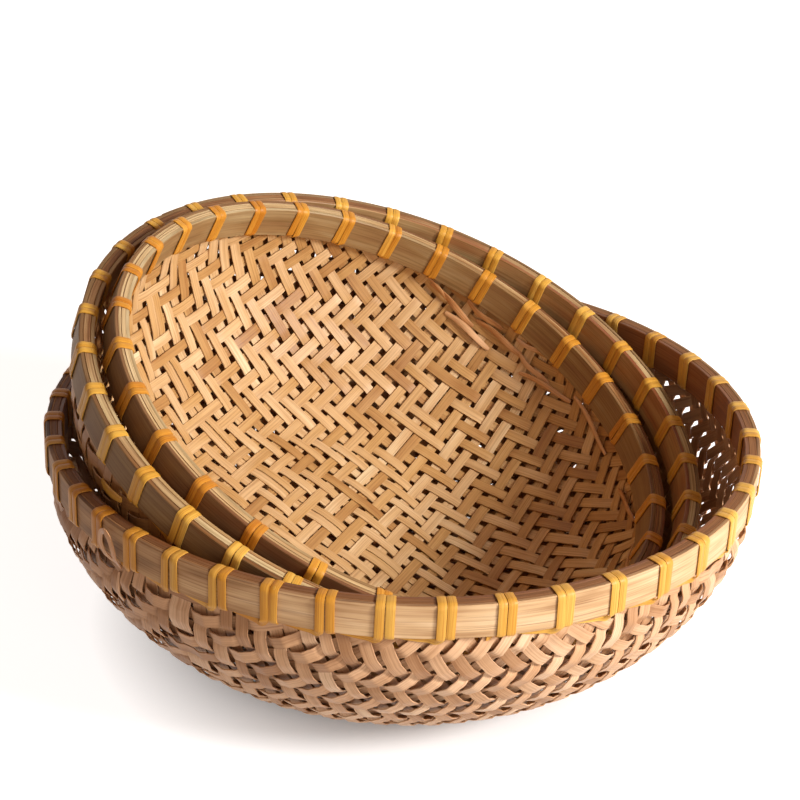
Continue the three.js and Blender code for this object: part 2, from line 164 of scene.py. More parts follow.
class Bag:
    """Gathers swept pieces into one mesh with a UV map in millimetres and a tone for each strand."""

    def __init__(self):
        self.points, self.faces, self.uvs, self.tones = [], [], [], []
        self.count = 0

    def sweep(self, sections, along, across, tone):
        """Closed skin through sections (n, k, 3); along (n,) and across (k + 1,) in millimetres."""
        n, k = sections.shape[:2]
        base = self.count
        self.points.append(sections.reshape(-1, 3))
        i, j = np.meshgrid(np.arange(n - 1), np.arange(k), indexing="ij")
        j2 = (j + 1) % k
        quads = np.stack([i * k + j, i * k + j2, (i + 1) * k + j2, (i + 1) * k + j], -1) + base
        uv = np.stack([
            np.stack([along[i], across[j]], -1), np.stack([along[i], across[j + 1]], -1),
            np.stack([along[i + 1], across[j + 1]], -1), np.stack([along[i + 1], across[j]], -1),
        ], 2)
        self.faces += quads.reshape(-1, 4).tolist()
        self.uvs.append(uv.reshape(-1, 2))
        last = base + (n - 1) * k
        self.faces += [list(range(base + k - 1, base - 1, -1)), list(range(last, last + k))]
        spread = np.stack([np.arange(k) * 0.2] * 2, 1)
        for end in (0, -1):
            self.uvs.append(np.tile([along[end], across[0]], (k, 1)) + spread)
        tone = np.asarray(tone, float)
        self.tones.append(np.broadcast_to(tone if tone.ndim == 2 else tone.reshape(-1, 1), (n, k)).ravel())
        self.count += n * k

    def build(self, name, basket, material, nodes):
        mesh = bpy.data.meshes.new(name)
        points = basket.place(np.concatenate(self.points))
        mesh.from_pydata(points.tolist(), [], self.faces)
        layer = mesh.uv_layers.new(name="strand")
        layer.data.foreach_set("uv", np.concatenate(self.uvs).astype(np.float32).ravel())
        attribute = mesh.attributes.new("tone", "FLOAT", "POINT")
        attribute.data.foreach_set("value", np.concatenate(self.tones).astype(np.float32))
        mesh.shade_smooth()
        mesh.set_sharp_from_angle(angle=math.radians(SHARP_ANGLE))
        mesh.update()
        piece = bpy.data.objects.new(name, mesh)
        bpy.context.scene.collection.objects.link(piece)
        mesh.materials.append(material)
        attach(piece, basket.name)
        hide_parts(*nodes)


def strip_outline(width, thickness, crown=0.12):
    """Cross-section of a split strip: offsets sideways and outwards, and the running girth."""
    w, t = width / 2, thickness / 2
    x = np.array([-w, -0.96 * w, -0.4 * w, 0.4 * w, 0.96 * w, w, 0.95 * w, -0.95 * w])
    y = np.array([0, t, t + crown, t + crown, t, 0, -t, -t])
    sides = np.hypot(np.diff(np.append(x, x[0])), np.diff(np.append(y, y[0])))
    girth = np.concatenate([[0], np.cumsum(sides)])
    return x, y, girth


def ribbon(centre, normal, width, thickness, crown=0.12, tangent=None):
    """Sections of a flat strip along centre, its crowned face towards normal."""
    if tangent is None:
        tangent = np.gradient(centre, axis=0)
    tangent = tangent / np.linalg.norm(tangent, axis=1)[:, None]
    side = np.cross(tangent, normal)
    side /= np.linalg.norm(side, axis=1)[:, None]
    up = np.cross(side, tangent)
    x, y, girth = strip_outline(1.0, thickness, crown)
    width = np.broadcast_to(width, len(centre))
    sections = (centre[:, None] + side[:, None] * (x[None, :, None] * width[:, None, None])
                + up[:, None] * y[None, :, None])
    return sections, girth * float(np.mean(width))


def wave(rng, x, length, size):
    """Slow random wander along x."""
    out = np.zeros_like(x)
    for k in (1.0, 2.3):
        out += np.sin(x * 2 * math.pi * k / length + rng.uniform(0, 2 * math.pi)) * size / k
    return out


# Weave

STEP = 1.6  # between the sections of a strip
THICKNESS = 0.5
PAIR_HALF = 2.7  # from the mat's middle line to each strip of the pair that lies along it
MAT_ROWS = ((11.0, 7.9), (10.7, 7.45))  # each family's first strip beside that pair, and its pitch
PLACE_SCATTER = 0.22
WIDTH_SCATTER = 0.05
EDGE_MARGIN = 1.5  # from the last strip to the mat's edge
SHORTEST_HALF = 9  # half the length of the shortest strip
LIFT = 0.40  # from the wall's middle to the strip's
FLOAT_LEVEL = 1.7  # level between two crossings on the same side, where a crossing's is 1
CROSSING_SHARE = 0.7  # of a crossing strip's width, over which a strip lies level
RIM_BAND = 20  # width of the band under the hoops, where strips lie closer to the wall's middle
BAND_FADE = 6
SIDE_FADE = 40
BAND_DRAW = 0.25  # share of the lift that is lost in that band
END_GAP = 0.2  # from a strip's end to the wall's upper edge


def offsets(reach, first, pitch, rng):
    """Places of one family's strips across the mat: index, place."""
    rows = [(0, 0.0)]
    k = 1
    while first + (k - 1) * pitch < reach - EDGE_MARGIN:
        place = first + (k - 1) * pitch
        rows.append((k, place + rng.normal(0, PLACE_SCATTER)))
        rows.append((-k, -place + rng.normal(0, PLACE_SCATTER)))
        k += 1
    return sorted(rows, key=lambda row: row[1])


def crossings(index, family, other, other_width):
    """Places along a strip and its level there, above 0 inside the strips that it crosses."""
    places = [place for _, place in other]
    numbers = np.array([abs(number) for number, _ in other])
    half = np.where(numbers == 0, PAIR_HALF + other_width / 2, other_width / 2)
    total = (abs(index) + numbers) % 4
    over = np.where((total == 0) | (total == 3), 1, -1) * (1 if family else -1)
    knots, values = [], []
    for k, place in enumerate(places):
        flat = half[k] * CROSSING_SHARE
        knots += [place - flat, place + flat]
        values += [over[k], over[k]]
        if k + 1 < len(places) and over[k + 1] == over[k]:
            knots.append((place + places[k + 1]) / 2)
            values.append(over[k] * FLOAT_LEVEL)
    return knots, values


def eased(t, knots, values):
    """Level along a strip, rounded where it passes from one side to the other."""
    level = np.interp(t, knots, values)
    core = np.clip(level, -1, 1)
    level = np.sin(core * math.pi / 2) + (level - core)
    return np.convolve(np.pad(level, 1, "edge"), [0.25, 0.5, 0.25], "valid")


def woven_strip(basket, bag, family, index, place, half, levels, rng):
    """Sweeps one strip, at its place across the mat and half its length to each side of the middle."""
    t = np.linspace(-half, half, int(2 * half / STEP) + 2)
    level = eased(t, *levels)
    off = place + wave(rng, t, length=90, size=0.16)
    u, v = (t, off) if family else (-off, t)
    point, normal = basket.on_wall(u, v)
    rho = np.hypot(u, v)
    in_band = np.clip((rho - (basket.reach - RIM_BAND)) / BAND_FADE, 0, 1)
    on_side = np.clip((rho - basket.base) / SIDE_FADE, 0, 1) * (1 - in_band)
    lift = np.where(level > 0, LIFT, LIFT + basket.bulge * on_side) * (1 - BAND_DRAW * in_band)
    centre = point - normal * (level * lift)[:, None]
    wide = basket.widths[family] * rng.normal(1, WIDTH_SCATTER) * (1 + wave(rng, t, length=140, size=0.03))
    left = np.clip(-point[:, 0] / basket.radius, 0, 1)
    wide = wide * (1 + basket.closer_left * left ** 3)
    if index == 0:
        wide = np.minimum(wide, 2 * PAIR_HALF - 0.25)
    facing = -normal if rng.random() < 0.5 else normal
    sections, girth = ribbon(centre, facing, wide, THICKNESS, 0.05)
    start = rng.uniform(0, 4000)
    # painted shade: the strand is darker towards -X, the side away from the key lamp
    tone = rng.random() - basket.painted_shade_left * left
    bag.sweep(sections, t + half + start, girth + rng.uniform(0, 500), tone)


def weave(basket, material):
    """Both families of strips of a flat 2/2 twill mat, laid on the basket's wall."""
    rng = np.random.default_rng(basket.seed)
    families = [offsets(basket.reach, first, pitch, rng) for first, pitch in MAT_ROWS]
    for family in (0, 1):
        bag = Bag()
        for index, place in families[family]:
            half = math.sqrt(max(0, (basket.reach - END_GAP) ** 2 - place ** 2))
            if half < SHORTEST_HALF:
                continue
            levels = crossings(index, family, families[1 - family], basket.widths[1 - family])
            lanes = (-PAIR_HALF, PAIR_HALF) if index == 0 else (0.0,)
            for lane in lanes:
                woven_strip(basket, bag, family, index, place + lane, half, levels, rng)
        bag.build(f"{basket.name}_weave_{family + 1}", basket, material,
                  [f"{basket.name}_woven_bowl"])


# Hoops and cap

RING_STEPS = 420
LAP_STEP = 0.012  # angle in which a slat steps out over the other end's tip
LAP_GAP = 0.12
INNER_SCARF_AHEAD = 2.2  # angle from the outer hoop's scarf to the inner hoop's, in radians
SPLINT_SCARF_AHEAD = 1.1  # and from one splint's to the next splint's
CAP_DEPTH = 2.4
CAP_OVERHANG = 0.25  # of the cap over the wall's inner face
SPLINT_GAP = 0.04


def share(x):
    return np.clip(x, 0, 1)


def ring(bag, inner, outer, bottom, top, scarf, rng, tone, lap=SCARF, bevel=0.28, wander=0.15,
         top_tone=None):
    """Slat bent into a ring from the azimuth scarf, with tapered ends that lap."""
    mid = (inner + outer) / 2
    span = lap / mid
    thick = outer - inner
    tip = min(0.35, thick * 0.25)
    taper = thick - 2 * tip - LAP_GAP
    a = np.linspace(0, 2 * math.pi + span, RING_STEPS)
    past = a - 2 * math.pi
    near = inner + (tip + LAP_GAP + taper * share(past / span)) * share((past + LAP_STEP) / LAP_STEP)
    step_out = (tip + LAP_GAP) * share((a - span) / LAP_STEP)
    far = np.where(a < span, inner + tip + taper * share(a / span),
                   np.minimum(outer, inner + thick - tip - LAP_GAP + step_out))
    w1, w2, w3 = (wave(rng, a % (2 * math.pi), 2 * math.pi, wander) for _ in range(3))
    crown = 0.12 * min(1.0, thick)
    sections = []
    for i, angle in enumerate(a + scarf):
        n, f = near[i], far[i]
        b = min(bevel, (f - n) * 0.4)
        lo, hi = bottom + w2[i], top + w3[i] * 0.4
        profile = [(n, lo + b), (n, hi - b), (n + b, hi), (f - b, hi), (f, hi - b),
                   (f + crown, (lo + hi) / 2), (f, lo + b), (f - b, lo), (n + b, lo)]
        c, s = math.cos(angle), math.sin(angle)
        sections.append([((r + w1[i]) * c, (r + w1[i]) * s, z) for r, z in profile])
    steps = [hi - lo, bevel, thick, bevel, (hi - lo) / 2, (hi - lo) / 2, bevel, thick, bevel]
    girth = np.concatenate([[0], np.cumsum(steps)])
    # the tones swing round the rim as painted light and shade
    tones = np.repeat(tone_with_painted_light(tone, a + scarf)[:, None], 9, axis=1)
    if top_tone:
        tones[:, 2:4] = tone_with_painted_light(top_tone, a + scarf)[:, None]
    bag.sweep(np.array(sections), a * mid + rng.uniform(0, 900), girth + rng.uniform(0, 500), tones)


def tone_with_painted_light(tone, azimuth):
    """Tone round the rim: its middle, its swing and the azimuth where it is highest. The swing is painted
    light and shade.
    """
    middle, swing, peak = tone
    return middle + swing * np.cos(azimuth - math.radians(peak))


# Tones of each rim, in the way that the rim's tone function reads them, each a middle and a swing of
# painted light and shade round the rim: the faces of the outer and the inner hoop, the upper edges of
# both, and the cap's splints from inside outwards, each with its width and how low it lies
RIMS = {
    "large": {"faces": ((0.33, 0.27, -45), (0.5, 0.0, 0)),
              "outer": (0.1, 0.15, -40), "inner": (0.0, 0.1, -40),
              "splints": [(2.24, 0.0, (0.35, 0.2, 0)), (0.8, 0.1, (0.65, 0.2, 180))]},
    "medium": {"faces": ((0.5, 0.15, 180), (0.5, 0.2, 100)),
               "outer": (0.55, 0.25, 60), "inner": (0.5, 0.5, -160),
               "splints": [(2.74, 0.0, (0.6, 0.4, -60)), (0.3, 0.25, (0.1, 0.0, 0))]},
    "small": {"faces": ((0.5, 0.35, 170), (0.38, 0.1, 120)),
              "outer": (0.4, 0.35, 155), "inner": (0.55, 0.45, 170),
              "splints": [(1.8, 0.0, (0.55, 0.4, 170)), (0.24, 0.2, (0.0, 0.1, 0)),
                          (1.0, 0.05, (0.6, 0.35, 150))]},
}


def rim(basket, hoop_material, skin_material, cap_material):
    rng = np.random.default_rng(basket.seed + 1)
    name, height = basket.name, basket.height
    tops = RIMS[name]
    outer_face, inner_face = tops["faces"]
    bag = Bag()
    ring(bag, basket.radius - HOOP, basket.radius - 0.1, height - OUTER_HOOP_HEIGHT, height,
         basket.scarf, rng, outer_face, top_tone=tops["outer"])
    bag.build(f"{name}_hoop_outside", basket, hoop_material, [f"{name}_outer_hoop"])
    bag = Bag()
    ring(bag, basket.hoop_inner, basket.hoop_inner + HOOP, height - INNER_HOOP_HEIGHT, height,
         basket.scarf + INNER_SCARF_AHEAD, rng, inner_face, top_tone=tops["inner"])
    bag.build(f"{name}_hoop_inside", basket, skin_material, [f"{name}_inner_hoop"])
    bag = Bag()
    inner = basket.wall_inner - CAP_OVERHANG
    for k, (width, low, tone) in enumerate(tops["splints"]):
        ring(bag, inner, inner + width - SPLINT_GAP, height - CAP_DEPTH, height - low,
             basket.scarf + SPLINT_SCARF_AHEAD * k, rng, (0.5, 0.0, 0), lap=30.0, bevel=0.06, wander=0.02,
             top_tone=tone)
        inner += width
    bag.build(f"{name}_cap", basket, cap_material, [f"{name}_cap_splint"])


# Lashing

TURN_RADIUS = 1.8
RIM_HALF_HEIGHT = 7.5
RIM_HALF_WIDTH = 4.2
LASH_SINK = 0.15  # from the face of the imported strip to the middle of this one
LASH_SINK_INSIDE = 0.35
LASH_STEP = 0.8
START_ANGLE, END_ANGLE, END_SLOPE = 0.045, 0.05, 1.2  # of the short run at both ends of a strip


def rounded(points, radius):
    """Polyline through points with arcs of the given radius at its corners."""
    out = [points[0]]
    for i in range(1, len(points) - 1):
        p, q, r = points[i - 1], points[i], points[i + 1]
        a, b = p - q, r - q
        la, lb = np.linalg.norm(a[:3]), np.linalg.norm(b[:3])
        cut = min(radius, la * 0.45, lb * 0.45)
        start, end = q + a / la * cut, q + b / lb * cut
        for k in np.linspace(0, 1, 5):
            out.append((1 - k) ** 2 * start + 2 * k * (1 - k) * q + k ** 2 * end)
    out.append(points[-1])
    return np.array(out)


def resample(points, step):
    d = np.concatenate([[0], np.cumsum(np.linalg.norm(np.diff(points[:, :3], axis=0), axis=1))])
    t = np.linspace(0, d[-1], max(3, int(d[-1] / step) + 1))
    return np.stack([np.interp(t, d, points[:, k]) for k in range(points.shape[1])], 1), t


# Tone round each rim: its middle, its swing and the azimuth where it is highest; the swing is painted light
# and shade
LASHING_TONES = {"large": (0.42, 0.28, 5), "medium": (0.8, 0.12, 190), "small": (0.62, 0.12, 0)}


def turn_rows(a, skew, outside, inside, edge, top, low):
    """One turn, from the outer hoop's lower edge over the rim to the inner hoop's."""
    return [(a + skew, outside, edge - 0.3, 0), (a + skew * 0.4, outside, top - 1.2, 0),
            (a, outside - 1.4, top, 0), (a, inside + 1.4, top, 0),
            (a, inside, top - 1.2, 0), (a + skew, inside, low + 0.6, 0)]


def run_rows(out, gap, run, edge, drop):
    """The strip's run along the wall from where it comes out to the next wrap."""
    return [(out + 0.2 * gap, run, edge + 0.5, 1), (out + 0.5 * gap, run, edge - 0.5, 1),
            (out + 0.8 * gap, run, edge - 1.0 - drop, 1),
            (out + gap - 0.01, run + 0.9, edge - 1.5 - drop, 1)]


def lashing(basket, material):
    """Winds each length of strip; its rows are azimuth, radius, height and 1 where it lies on the wall."""
    rng = np.random.default_rng(basket.seed + 2)
    step = basket.lash_pitch / basket.strip_outer
    outside, inside = basket.strip_outer - LASH_SINK, basket.strip_inner + LASH_SINK_INSIDE
    top, low = basket.strip_top - LASH_SINK, basket.strip_bottom
    edge = basket.height - OUTER_HOOP_HEIGHT
    run = basket.wall_outer + 0.1
    count = len(basket.angles)
    for number in range(basket.strips):
        first = round(number * count / basket.strips)
        last = round((number + 1) * count / basket.strips)
        rows = []
        for k in range(first, last):
            angle = basket.angles[k] + rng.normal(0, 0.0015)
            skew = rng.normal(0, 0.0018, 2)
            if k == first:
                rows.append((angle - START_ANGLE, run, edge - END_SLOPE, 1))
            for turn in (0, 1):
                a = angle + (turn - 0.5) * step
                if turn or k == first:
                    rows.append((a, run - 1.2, low + 0.3, 0))
                rows += turn_rows(a, skew[turn], outside, inside, edge, top, low)
            out = angle + 0.5 * step
            rows.append((out, run - 1.2, edge + 0.6, 0))
            if k + 1 == last:
                rows.append((out + END_ANGLE, run, edge + END_SLOPE, 1))
                continue
            gap = basket.angles[k + 1] - 0.5 * step - out
            rows += run_rows(out, gap, run, edge, rng.uniform(0.0, 0.6))
        bag = Bag()
        sweep_lashing(basket, bag, rows, rng)
        bag.build(f"{basket.name}_lashing_strip_{number + 1}", basket, material,
                  [f"{basket.name}_lashing_{number + 1}"])


def sweep_lashing(basket, bag, rows, rng):
    """Sweeps one strip along its rows; the face is turned smoothly towards each stretch's normal."""
    pts = np.array([(r * math.cos(a), r * math.sin(a), z, flat) for a, r, z, flat in rows])
    line, t = resample(rounded(pts, TURN_RADIUS), LASH_STEP)
    flat = line[:, 3] > 0.5
    line = line[:, :3]
    tangent = np.gradient(line, axis=0)
    tangent /= np.linalg.norm(tangent, axis=1)[:, None]
    radius = np.hypot(line[:, 0], line[:, 1])
    az = np.arctan2(line[:, 1], line[:, 0])
    radial = np.stack([np.cos(az), np.sin(az), np.zeros(len(az))], 1)
    # A point well inside the rim's section: faces look away from it
    heart_r = (basket.strip_outer + basket.strip_inner) / 2
    heart_z = (basket.strip_top + basket.strip_bottom) / 2
    dr, dz = radius - heart_r, line[:, 2] - heart_z
    upright = np.abs(dr) * RIM_HALF_HEIGHT > np.abs(dz) * RIM_HALF_WIDTH
    away = np.where(upright[:, None], radial * np.sign(dr)[:, None],
                    np.array([0, 0, 1.0]) * np.sign(dz)[:, None])
    away[flat] = radial[flat]
    kernel = np.hanning(7)[1:-1]
    kernel /= kernel.sum()
    normal = np.stack([np.convolve(np.pad(away[:, k], 2, "edge"), kernel, "valid") for k in range(3)], 1)
    normal -= tangent * (normal * tangent).sum(1)[:, None]
    size = np.linalg.norm(normal, axis=1)[:, None]
    normal = np.where(size > 0.05, normal / np.maximum(size, 1e-6), radial)
    wide = basket.lash_width * (1 + wave(rng, t, length=60, size=0.02))
    sections, girth = ribbon(line, normal, wide, 0.4, 0.22, tangent)
    # painted light and shade: the tone swings round the rim
    tone = tone_with_painted_light(LASHING_TONES[basket.name], az) + wave(rng, t, length=420, size=0.2)
    tone = np.clip(tone + rng.normal(0, 0.1), 0, 1)
    bag.sweep(sections, t + rng.uniform(0, 900), girth + rng.uniform(0, 500), tone)


# Loose ends

# Splints sprung out of the small basket's weave: arc length and azimuth at both ends, and width
SPRUNG = [
    (154, 83, 149, 76, 1.6), (152, 82, 144, 69, 3.2), (142, 76, 139, 63, 3.0), (154, 73, 150, 63, 2.9),
    (147, 69, 147, 56, 3.0), (147, 57, 144, 47, 2.6), (139, 54, 148, 40, 2.6), (152, 59, 155, 52, 2.2),
    (151, 40, 148, 24, 2.4), (146, 14, 152, 2, 2.2), (153, -4, 149, -18, 2.4),
]

# Strips at the rims, in rows of azimuth in degrees, distance out from the rim and height above it
FOLDED_SPLINT = [(-135.5, -2.4, -19), (-135.2, 0.9, -14), (-135.1, 2.0, -9), (-135.6, 2.6, -4),
                 (-136.7, 2.8, -1.8), (-137.8, 2.4, -4), (-138.3, 1.9, -9), (-137.8, 0.9, -14),
                 (-137.2, -2.4, -18)]
SPLINTER = [(-135.8, -2.2, -21), (-136.0, -1.6, -27), (-136.3, -2.6, -32), (-136.4, -5.0, -36)]
EXTRA_END = [(-107.1, -2.4, 0.45), (-107.1, -0.6, 0.5), (-107.0, 0.5, -1.0), (-106.9, 0.4, -7),
             (-106.7, 0.4, -13.4), (-106.7, -1.8, -15.5)]
LOOSE_END = [(-144.2, -2.6, -25), (-141.8, -0.9, -22.8), (-139.4, 0.2, -20.6), (-136.8, 0.4, -18)]


def tapered(t, blunt):
    """Width share along a splint that runs to a point at both ends; t goes from 0 to 1."""
    return blunt + (1 - blunt) * np.sqrt(np.clip(np.sin(math.pi * t), 0, 1))


def sprung_splints(basket, material):
    """Splints that lie on the inside of the weave, bent and twisted out of it."""
    rng = np.random.default_rng(basket.seed + 3)
    bag = Bag()
    for s0, a0, s1, a1, width in SPRUNG:
        t = np.linspace(0, 1, 30)
        s = s0 + (s1 - s0) * t + rng.choice((-1, 1)) * rng.uniform(0.5, 1.4) * np.sin(math.pi * t * 1.6)
        a = np.radians(a0 + (a1 - a0) * t) - basket.mat_angle
        point, normal = basket.on_wall(s * np.cos(a), s * np.sin(a))
        centre = point - normal * (0.9 + rng.uniform(1.2, 2.0) * np.sin(math.pi * t))[:, None]
        along = np.gradient(centre, axis=0)
        along /= np.linalg.norm(along, axis=1)[:, None]
        twist = rng.uniform(-0.2, 0.2) + rng.uniform(-0.35, 0.35) * np.sin(2 * math.pi * t)
        facing = -normal * np.cos(twist)[:, None] + np.cross(along, normal) * np.sin(twist)[:, None]
        sections, girth = ribbon(centre, facing, width * tapered(t, 0.55), 0.45, 0.2)
        run = t * np.hypot((a1 - a0) * 2.0, s1 - s0)
        bag.sweep(sections, run + rng.uniform(0, 900), girth + rng.uniform(0, 500), rng.uniform(0.2, 0.9))
    bag.build(f"{basket.name}_sprung_splints", basket, material,
              [f"{basket.name}_woven_bowl"])


def loose_strip(basket, bag, rows, width, tone, edgeways=0.0):
    """Strip through rows of places at the rim; edgeways turns its face aside, in radians."""
    rows = np.array(rows, float) + (0, basket.radius, basket.height)
    t = np.linspace(0, 1, 8 * len(rows))
    line = np.stack([np.interp(t, np.linspace(0, 1, len(rows)), rows[:, k]) for k in range(3)], 1)
    kernel = np.hanning(13)[1:-1]
    kernel /= kernel.sum()
    pads = np.concatenate([2 * line[0] - line[5:0:-1], line, 2 * line[-1] - line[-2:-7:-1]])
    line = np.stack([np.convolve(pads[:, k], kernel, "valid") for k in range(3)], 1)
    a = np.radians(line[:, 0])
    centre = np.stack([line[:, 1] * np.cos(a), line[:, 1] * np.sin(a), line[:, 2]], 1)
    radial = np.stack([np.cos(a), np.sin(a), 0 * a], 1)
    around_rim = np.stack([-np.sin(a), np.cos(a), 0 * a], 1)
    facing = radial * math.cos(edgeways) + around_rim * math.sin(edgeways)
    sections, girth = ribbon(centre, facing, width * tapered(t, 0.5), 0.4, 0.1)
    bag.sweep(sections, t * np.ptp(line[:, 2]) + 40, girth, tone)


def large_loose_ends(basket, splint_material, strip_material):
    """The splint folded out under the rim, a splinter below it, and an end of the lashing."""
    bag = Bag()
    loose_strip(basket, bag, FOLDED_SPLINT, 2.3, 0.6, edgeways=0.25)
    loose_strip(basket, bag, SPLINTER, 1.5, 0.9, edgeways=0.3)
    bag.build("large_folded_splint", basket, splint_material, ["large_woven_bowl"])
    bag = Bag()
    loose_strip(basket, bag, EXTRA_END, 1.7, 0.6)
    bag.build("large_lashing_extra_end", basket, strip_material, ["large_lashing_3"])


def medium_loose_end(basket, strip_material):
    """The end of a lashing strip that lies aslant on the weave."""
    bag = Bag()
    loose_strip(basket, bag, LOOSE_END, 3.8, 1.0)
    bag.build("medium_lashing_loose_end", basket, strip_material, ["medium_lashing_1"])


# Materials

def rgb(code):
    """Linear colour of an sRGB hex code."""
    parts = [int(code[i:i + 2], 16) / 255 for i in (0, 2, 4)]
    return [c / 12.92 if c < 0.04045 else ((c + 0.055) / 1.055) ** 2.4 for c in parts] + [1]


def put(links, socket, value):
    """Links a socket to another node's output, or sets it to a number, place or colour."""
    if isinstance(value, bpy.types.NodeSocket):
        links.new(value, socket)
    else:
        socket.default_value = value


def ramp(nodes, links, source, stops):
    node = nodes.new("ShaderNodeValToRGB")
    links.new(source, node.inputs[0])
    elements = node.color_ramp.elements
    while len(elements) < len(stops):
        elements.new(0.5)
    for element, (at, code) in zip(elements, stops):
        element.position, element.color = at, rgb(code)
    return node.outputs[0]


def noise(nodes, links, vector, scale, detail=2.0, rough=0.5):
    stretch = nodes.new("ShaderNodeMapping")
    stretch.inputs["Scale"].default_value = scale
    links.new(vector, stretch.inputs[0])
    node = nodes.new("ShaderNodeTexNoise")
    node.inputs["Scale"].default_value = 1.0
    node.inputs["Detail"].default_value = detail
    node.inputs["Roughness"].default_value = rough
    links.new(stretch.outputs[0], node.inputs["Vector"])
    return node.outputs["Fac"]


def math_node(nodes, links, operation, a, b):
    node = nodes.new("ShaderNodeMath")
    node.operation = operation
    for socket, value in zip(node.inputs, (a, b)):
        put(links, socket, value)
    return node.outputs[0]


def mix_colour(nodes, links, mode, factor, a, b):
    node = nodes.new("ShaderNodeMix")
    node.data_type, node.blend_type = "RGBA", mode
    for socket, value in zip((node.inputs[0], node.inputs[6], node.inputs[7]), (factor, a, b)):
        put(links, socket, value)
    return node.outputs[2]


def map_range(nodes, links, value, start, end, low, high):
    node = nodes.new("ShaderNodeMapRange")
    settings = {"Value": value, "From Min": start, "From Max": end, "To Min": low, "To Max": high}
    for socket, setting in settings.items():
        put(links, node.inputs[socket], setting)
    return node.outputs[0]


FIBRE_LENGTHS = 0.018  # fibres for each millimetre along a strand; pitch is that across it
PATCH_SCALE = (0.025, 0.14, 1)
PATCH_SHARE = 0.9  # of the slow blotches in the value that picks the colour
VEIN_SCALE = (0.009, 0.75, 1)
VEIN_COLOUR = "8a5a38"
ROUGHNESS_SWING = 0.25  # between fibres and the grooves beside them
RELIEF_DEPTH = 0.0002


def strand_material(name, stops, grain, streak, roughness, bump, spread=0.75, pitch=1.5, veins=0.0,
                    shine=0.2):
    """Split bamboo: a tone for each strand, fibres and darker veins along it and slow blotches."""
    mat = bpy.data.materials.new(name)
    mat.use_nodes = True
    nodes, links = mat.node_tree.nodes, mat.node_tree.links
    shader = nodes["Principled BSDF"]
    uv = nodes.new("ShaderNodeUVMap")
    uv.uv_map = "strand"
    tone = nodes.new("ShaderNodeAttribute")
    tone.attribute_name = "tone"
    fibres = noise(nodes, links, uv.outputs[0], (FIBRE_LENGTHS, pitch, 1), 5, 0.62)
    patches = noise(nodes, links, uv.outputs[0], PATCH_SCALE, 2)
    value = math_node(nodes, links, "MULTIPLY", tone.outputs["Fac"], spread)
    value = math_node(nodes, links, "ADD", value, math_node(nodes, links, "MULTIPLY", patches, PATCH_SHARE))
    value = math_node(nodes, links, "SUBTRACT", value, 0.2 + spread / 4)
    colour = ramp(nodes, links, value, stops)
    lines = ramp(nodes, links, fibres, [(0.36, grain), (0.56, "ffffff")])
    colour = mix_colour(nodes, links, "MULTIPLY", streak, colour, lines)
    if veins:
        vein = noise(nodes, links, uv.outputs[0], VEIN_SCALE, 3, 0.7)
        dark = ramp(nodes, links, vein, [(0.58, "ffffff"), (0.64, VEIN_COLOUR), (0.7, "ffffff")])
        colour = mix_colour(nodes, links, "MULTIPLY", veins, colour, dark)
    links.new(colour, shader.inputs["Base Color"])
    shader.inputs["Specular IOR Level"].default_value = shine
    rough = math_node(nodes, links, "MULTIPLY", fibres, ROUGHNESS_SWING)
    rough = math_node(nodes, links, "ADD", rough, roughness - 0.12)
    links.new(rough, shader.inputs["Roughness"])
    relief = nodes.new("ShaderNodeBump")
    relief.inputs["Strength"].default_value = bump
    relief.inputs["Distance"].default_value = RELIEF_DEPTH
    links.new(fibres, relief.inputs["Height"])
    links.new(relief.outputs[0], shader.inputs["Normal"])
    return mat


# Colours along each material's ramp, from the darkest strands to the palest
LOOKS = {
    "large": {
        "weave": [(0.0, "ac805a"), (0.35, "cda27a"), (0.7, "dcb792"), (1.0, "ebceab")],
        # the darkest stop is reached on the left of the outer hoop, where the rim's tone swing paints shade
        "hoop": [(0.0, "5c3e2c"), (0.3, "b08a62"), (0.5, "d0ad82"), (1.0, "f2dcb8")],
        "skin": [(0.0, "754928"), (0.4, "945f3a"), (0.75, "a8724a"), (1.0, "ba885e")],
        "cap": [(0.0, "704628"), (0.5, "90633e"), (1.0, "b08458")],
        "dyed": [(0.0, "c68628"), (0.4, "d4a044"), (0.75, "deb258"), (1.0, "e8c474")],
        "weave_shine": 0.2,
    },
    "medium": {
        # darker than the other weaves: partly an older tone of its own, partly painted shade, as it lies in
        # the shade between the other two
        "weave": [(0.0, "925f34"), (0.4, "a87844"), (0.75, "bb8c58"), (1.0, "cba070")],
        "hoop": [(0.0, "8a5628"), (0.35, "7c5e3e"), (0.75, "967a54"), (1.0, "d0b98a")],
        "skin": [(0.0, "8a4e2c"), (0.4, "a07046"), (0.75, "b89868"), (1.0, "d6c296")],
        "cap": [(0.0, "5c3820"), (0.3, "9a6c44"), (0.6, "c8ae80"), (1.0, "dccaa0")],
        "dyed": [(0.0, "bc7c22"), (0.4, "cc9232"), (0.75, "d8a644"), (1.0, "e6be60")],
        "weave_shine": 0.34,
    },
    "small": {
        "weave": [(0.0, "a87844"), (0.35, "c4985e"), (0.7, "d7b282"), (1.0, "edd8ae")],
        "hoop": [(0.0, "7a4a2c"), (0.35, "7a5234"), (0.75, "8c6c48"), (1.0, "b89868")],
        "skin": [(0.0, "7e5638"), (0.4, "98764c"), (0.75, "b69e74"), (1.0, "dac69e")],
        "cap": [(0.0, "643c22"), (0.3, "9c6c40"), (0.6, "c8a878"), (1.0, "dec69a")],
        "dyed": [(0.0, "b46e1c"), (0.4, "c6842a"), (0.75, "d69b3a"), (1.0, "e4b254")],
        "weave_shine": 0.34,
    },
}
SPRUNG_LOOK = [(0.0, "ae7448"), (0.4, "c8935f"), (0.75, "daae82"), (1.0, "eccaa6")]


# Stage, light and camera

FLOOR_HALF = 3.0
FLOOR_HEIGHT = -0.0002
FLOOR_COLOUR = (0.68, 0.68, 0.68, 1)
